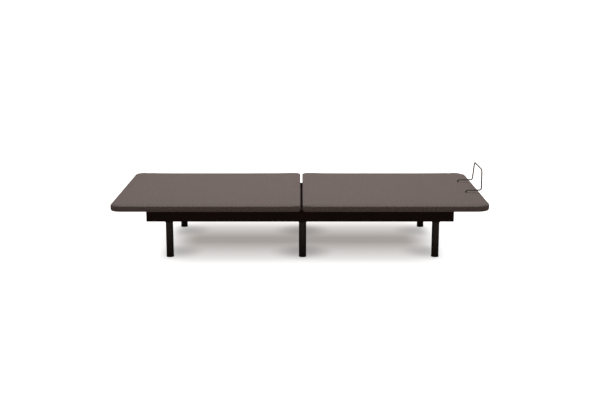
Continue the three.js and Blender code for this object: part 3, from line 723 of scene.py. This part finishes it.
def staples(name, body, x0, x1, end_x=None):
    """Two rows along the sides of a panel and, at end_x, one across its end."""
    bm = bmesh.new()
    pitch = STAPLE["pitch"]
    row_y = HALF_WIDTH - STAPLE["inset"]
    for k in range(int((x1 - x0) / pitch) + 1):
        for side in (-1, 1):
            staple(bm, x0 + k * pitch, side * row_y, False)
    if end_x is not None:
        reach = HALF_WIDTH - CORNER_PATCH
        count = int(2 * reach / pitch)
        for k in range(count + 1):
            staple(bm, end_x, -reach + 2 * reach * k / count, True)
    return piece_from(name, bm, body, "steel")


def make_staples():
    inset = STAPLE["inset"]
    margin = FOLD_REACH + STAPLE_FOLD_GAP
    patch = CORNER_PATCH
    staples("back_staples", "back", HEAD_END + patch, BACK_FOLD_X - margin, HEAD_END + inset)
    staples("seat_staples", "frame", BACK_FOLD_X + margin, SPLIT_HEAD - patch / 2)
    staples("thigh_staples", "thigh", SPLIT_FOOT + patch / 2, KNEE_FOLD_X - margin)
    staples("calf_staples", "calf", KNEE_FOLD_X + margin, FOOT_END - patch, FOOT_END - inset)


# ---- Legs and glides ----
def make_leg(place, side):
    node = f"leg_{place}_{side}"
    lo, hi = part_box(node)
    x, y = (lo.x + hi.x) / 2, (lo.y + hi.y) / 2
    under = hi.z - PLATE_THICK
    bore = LEG_RADIUS - LEG_WALL
    r, bead = LEG_RADIUS, WELD_BEAD
    tube = [(bore, lo.z), (r - LEG_EDGE, lo.z), (r, lo.z + LEG_EDGE), (r, under - bead)]
    for k in range(1, 5):
        a = k / 4 * math.pi / 2
        tube.append((r + bead * (1 - math.cos(a)), under - bead * (1 - math.sin(a))))
    tube.append((bore, under))
    bm = bmesh.new()
    turn_profile(bm, tube, (x, y), 64)
    half_x, half_y = (hi.x - lo.x) / 2, (hi.y - lo.y) / 2
    sections = []
    layers = [(under, PLATE_EDGE), (under + PLATE_EDGE, 0), (hi.z - PLATE_EDGE, 0), (hi.z, PLATE_EDGE)]
    for height, shrink in layers:
        outline = rounded(PLATE_CORNER - shrink, half_x - shrink, half_y - shrink)
        sections.append([(x + a, y + b, height) for a, b in outline])
    loft(bm, sections)
    piece = piece_from(f"leg_post_{place}_{side}", bm, "frame", "leg_paint")
    sharpen(piece)
    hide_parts(node)


def make_glide(place, side):
    node = f"glide_{place}_{side}"
    lo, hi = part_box(node)
    x, y = (lo.x + hi.x) / 2, (lo.y + hi.y) / 2
    r = (hi.x - lo.x) / 2
    collar, edge = GLIDE_COLLAR, GLIDE_EDGE
    stem = LEG_RADIUS - LEG_WALL - GLIDE_PLAY
    profile = [(0.0, SOLE_DEPTH), (SOLE_RADIUS, SOLE_DEPTH), (SOLE_RADIUS + SOLE_DEPTH, 0.0), (r - edge, 0.0)]
    for k in range(1, 5):
        a = k / 4 * math.pi / 2
        profile.append((r - edge * (1 - math.sin(a)), edge * (1 - math.cos(a))))
    profile += [(r, collar - LEG_EDGE), (r - LEG_EDGE, collar), (stem, collar)]
    for k in range(RIB_COUNT):
        base = collar + RIB_START + k * RIB_PITCH
        profile.append((stem - RIB_DEPTH, base))
        profile += [(stem, base + rise) for rise in RIB_TOP]
    profile += [(stem - GLIDE_TAPER, hi.z), (0.0, hi.z)]
    bm = bmesh.new()
    turn_profile(bm, profile, (x, y), 64)
    piece = piece_from(f"foot_glide_{place}_{side}", bm, "frame", "rubber")
    sharpen(piece)
    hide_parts(node)


# ---- Rail ends ----
def make_rail_plugs():
    """Push-in plastic plugs in the open ends of the two side rails."""
    for side in ("left", "right"):
        lo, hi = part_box("side_rail_" + side)
        y, z = (lo.y + hi.y) / 2, (lo.z + hi.z) / 2
        half_y, half_z = (hi.y - lo.y) / 2, (hi.z - lo.z) / 2
        for end, x, out in (("head", lo.x, -1), ("foot", hi.x, 1)):
            bm = bmesh.new()
            inner = RAIL_WALL + 0.0003
            corner = PLUG_CORNER
            # How far out, how far in from the rail's sides, and the corner radius
            steps = [(-PLUG_DEPTH, inner + 0.001, corner - 0.001), (0.002 - PLUG_DEPTH, inner, corner)]
            steps += [(0.0002, inner, corner), (0.0002, 0.0004, corner)]
            steps += [(PLUG_RIM * 0.6, 0.0004, corner), (PLUG_RIM, 0.0014, corner)]
            sections = []
            for reach, inset, radius in steps:
                outline = rounded(radius, half_y - inset, half_z - inset)
                sections.append([(x + out * reach, y + a, z + b) for a, b in outline])
            loft(bm, sections)
            piece = piece_from(f"rail_plug_{end}_{side}", bm, "frame", "motor_plastic")
            sharpen(piece)


# ---- Mattress retainer ----
def wire_line():
    """Centre line of the bent wire, one foot to the other, as points."""
    lo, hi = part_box("retainer_bar")
    foot_x = lo.x + WIRE_RADIUS
    top_x = hi.x - WIRE_RADIUS
    half = hi.y - WIRE_RADIUS
    top = hi.z - WIRE_RADIUS
    level = DECK_TOP + WIRE_RISE
    low_x = top_x - WIRE_LEAN
    bend, top_bend = WIRE_BEND, WIRE_TOP_BEND
    side = [Vector((foot_x, -half, lo.z)), Vector((foot_x, -half, level)), Vector((low_x, -half, level)),
            Vector((top_x, -WIRE_TOP_HALF, top))]
    corners = side + [Vector((p.x, -p.y, p.z)) for p in reversed(side)]
    bends = [0, bend, bend, top_bend, top_bend, bend, bend, 0]
    points = [corners[0]]
    for before, corner, after, reach in zip(corners, corners[1:], corners[2:], bends[1:]):
        start = corner + (before - corner).normalized() * reach
        end = corner + (after - corner).normalized() * reach
        for k in range(WIRE_BEND_STEPS + 1):
            t = k / WIRE_BEND_STEPS
            points.append(start.lerp(corner, t).lerp(corner.lerp(end, t), t))
    points.append(corners[-1])
    return points


def make_retainer():
    line = wire_line()
    curve = bpy.data.curves.new("retainer_wire", "CURVE")
    curve.dimensions = "3D"
    curve.bevel_depth = WIRE_RADIUS
    curve.bevel_resolution = 5
    curve.use_fill_caps = True
    spline = curve.splines.new("POLY")
    spline.points.add(len(line) - 1)
    for point, place in zip(spline.points, line):
        point.co = (*place, 1.0)
    curve.materials.append(MATERIALS["bar_paint"])
    piece = bpy.data.objects.new("retainer_wire", curve)
    bpy.context.scene.collection.objects.link(piece)
    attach(piece, "calf")
    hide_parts("retainer_bar")
    for side, foot in (("right", line[0]), ("left", line[-1])):
        eyelet(side, foot)


def eyelet(side, foot):
    """A small turned eyelet, pressed into the cloth round the wire."""
    bore, rim = WIRE_RADIUS + EYELET_PLAY, WIRE_RADIUS + EYELET_RIM
    base = COVER_TOP + CROWN - EYELET_SINK
    foot_z = base - EYELET_DEPTH
    profile = [(bore, foot_z), (rim - EYELET_TAPER, foot_z), (rim, base)]
    for k in range(1, 7):
        a = k / 6 * math.pi
        middle, half = (rim + bore) / 2, (rim - bore) / 2
        profile.append((middle + half * math.cos(a), base + EYELET_RISE * math.sin(a)))
    bm = bmesh.new()
    turn_profile(bm, profile, (foot.x, foot.y), 40)
    piece_from("retainer_eyelet_" + side, bm, "calf", "rubber")


# ---- Studio ----
CAMERA_PLACE = Vector((-0.0054, -5.7994, 1.4726))
CAMERA_PITCH = math.radians(12.549)
CAMERA_LENS = 61.55
FLOOR_HALF = 60.0
FLOOR_TONE = (0.42, 0.36, 0.32, 1.0)
SHADE_X = (0.587, 0.892)  # the painted shadow under the bed fades out between these distances from its middle
SHADE_Y = (0.05, 0.75)
SHADE_MIDDLE = (0.003, 0.02)
SHADE_GLOW = (0.365, 1.10)  # what the camera sees of the over-exposed floor, in the painted shadow and outside
LEG_SHADE = (0.03, 0.20)
LEG_SHADE_X = (0.71, 0.80)  # the painted darker spots beside the legs stop here
LEG_SHADE_IN = 0.097  # how far in from the legs these painted spots lie
LEG_SHADE_DEPTH = 0.38
# Warm tint at the painted shadow's core, fading to white by this openness
SHADE_WARMTH = (1.0, 0.935, 0.885, 1.0)
SHADE_WARM_TO = 0.6
WHITE = (1.0, 1.0, 1.0, 1.0)
WORLD_LIGHT = 0.23
WORLD_SEEN = 1.2  # what the camera sees of the white surround
OVERHEAD_PLACE = (0.0, 0.35, 3.2)
OVERHEAD_TARGET = (0, 0.05, 0)
OVERHEAD_SIZE = (4.6, 3.4)
OVERHEAD_POWER = 119.0


def make_camera():
    data = bpy.data.cameras.new("camera")
    data.lens = CAMERA_LENS
    data.sensor_width = 36.0
    data.clip_end = 200.0
    camera = bpy.data.objects.new("camera", data)
    camera.location = CAMERA_PLACE
    camera.rotation_euler = (math.pi / 2 - CAMERA_PITCH, 0, 0)
    bpy.context.scene.collection.objects.link(camera)
    bpy.context.scene.camera = camera


def leg_centres():
    boxes = [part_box(f"leg_{place}_left") for place in ("head", "center", "foot")]
    return [((lo.x + hi.x) / 2, (lo.y + hi.y) / 2) for lo, hi in boxes]


def floor_shade(r):
    """A painted shadow under the bed: how open the floor is to the light, 0 to 1, and the share of it left by a
    painted darker spot beside each leg.
    """
    axes = r.add("SeparateXYZ", {"Vector": r.object_place()}).outputs
    off_x, off_y = (r.math("ABSOLUTE", r.math("SUBTRACT", axes[axis], middle))
                    for axis, middle in zip("XY", SHADE_MIDDLE))
    along = r.faded(off_x, SHADE_X, smooth=True)
    across = r.faded(off_y, SHADE_Y)
    closed = r.math("MULTIPLY", r.math("SUBTRACT", 1.0, along), r.math("SUBTRACT", 1.0, across))
    to_leg = None
    for x, y in leg_centres():
        beside = r.math("SUBTRACT", axes["X"], x)
        ahead = r.math("SUBTRACT", r.math("ABSOLUTE", axes["Y"]), y - LEG_SHADE_IN)
        flat = r.add("CombineXYZ", {"X": beside, "Y": ahead}).outputs["Vector"]
        reach = r.add("VectorMath", {0: flat}, operation="LENGTH").outputs["Value"]
        to_leg = reach if to_leg is None else r.math("MINIMUM", to_leg, reach)
    near_leg = r.math("SUBTRACT", 1.0, r.faded(to_leg, LEG_SHADE, smooth=True))
    inside = r.math("SUBTRACT", 1.0, r.faded(off_x, LEG_SHADE_X, smooth=True))
    spot = r.math("MULTIPLY", r.math("MULTIPLY", near_leg, inside), LEG_SHADE_DEPTH)
    return r.math("SUBTRACT", 1.0, closed), r.math("SUBTRACT", 1.0, spot)


def make_floor():
    """White studio floor. The over-exposed sweep round the object is light that only the camera sees; its glow
    holds a painted shadow under the bed and painted darker spots beside the legs.
    """
    r = Recipe("studio_floor")
    open_floor, left_over = floor_shade(r)
    glow = r.math("MULTIPLY", r.scaled(open_floor, *SHADE_GLOW), left_over)
    seen = r.add("LightPath").outputs["Is Camera Ray"]
    r.set(Base_Color=FLOOR_TONE, Roughness=1.0, Specular_IOR_Level=0.0)
    # The painted shadow turns warmer where it is darkest
    warmth = r.faded(open_floor, (0.0, SHADE_WARM_TO))
    r.set(Emission_Color=r.mixed(warmth, SHADE_WARMTH, WHITE))
    r.set(Emission_Strength=r.math("MULTIPLY", glow, seen))
    mesh = bpy.data.meshes.new("studio_floor")
    h = FLOOR_HALF
    mesh.from_pydata([(-h, -h, 0), (h, -h, 0), (h, h, 0), (-h, h, 0)], [], [(0, 1, 2, 3)])
    mesh.materials.append(r.material)
    floor = bpy.data.objects.new("studio_floor", mesh)
    bpy.context.scene.collection.objects.link(floor)


def softbox(name, place, target, size, power):
    data = bpy.data.lights.new(name, "AREA")
    data.shape = "RECTANGLE"
    data.size, data.size_y = size
    data.energy = power
    lamp = bpy.data.objects.new(name, data)
    lamp.location = place
    lamp.rotation_euler = (Vector(target) - Vector(place)).to_track_quat("-Z", "Y").to_euler()
    bpy.context.scene.collection.objects.link(lamp)


def make_lights():
    world = bpy.data.worlds.new("studio")
    world.use_nodes = True
    nodes, link = world.node_tree.nodes, world.node_tree.links.new
    background = nodes["Background"]
    background.inputs["Color"].default_value = WHITE
    background.inputs["Strength"].default_value = WORLD_LIGHT
    seen = nodes.new("ShaderNodeBackground")
    seen.inputs["Color"].default_value = WHITE
    seen.inputs["Strength"].default_value = WORLD_SEEN
    path = nodes.new("ShaderNodeLightPath")
    mix = nodes.new("ShaderNodeMixShader")
    link(path.outputs["Is Camera Ray"], mix.inputs[0])
    link(background.outputs[0], mix.inputs[1])
    link(seen.outputs[0], mix.inputs[2])
    link(mix.outputs[0], nodes["World Output"].inputs["Surface"])
    bpy.context.scene.world = world
    softbox("overhead", OVERHEAD_PLACE, OVERHEAD_TARGET, OVERHEAD_SIZE, OVERHEAD_POWER)


finish_cad_nodes()
make_covers()
make_staples()
for place in ("head", "center", "foot"):
    for side in ("left", "right"):
        make_leg(place, side)
        make_glide(place, side)
make_rail_plugs()
make_retainer()
make_camera()
make_floor()
make_lights()
bpy.context.scene.view_settings.view_transform = "Standard"
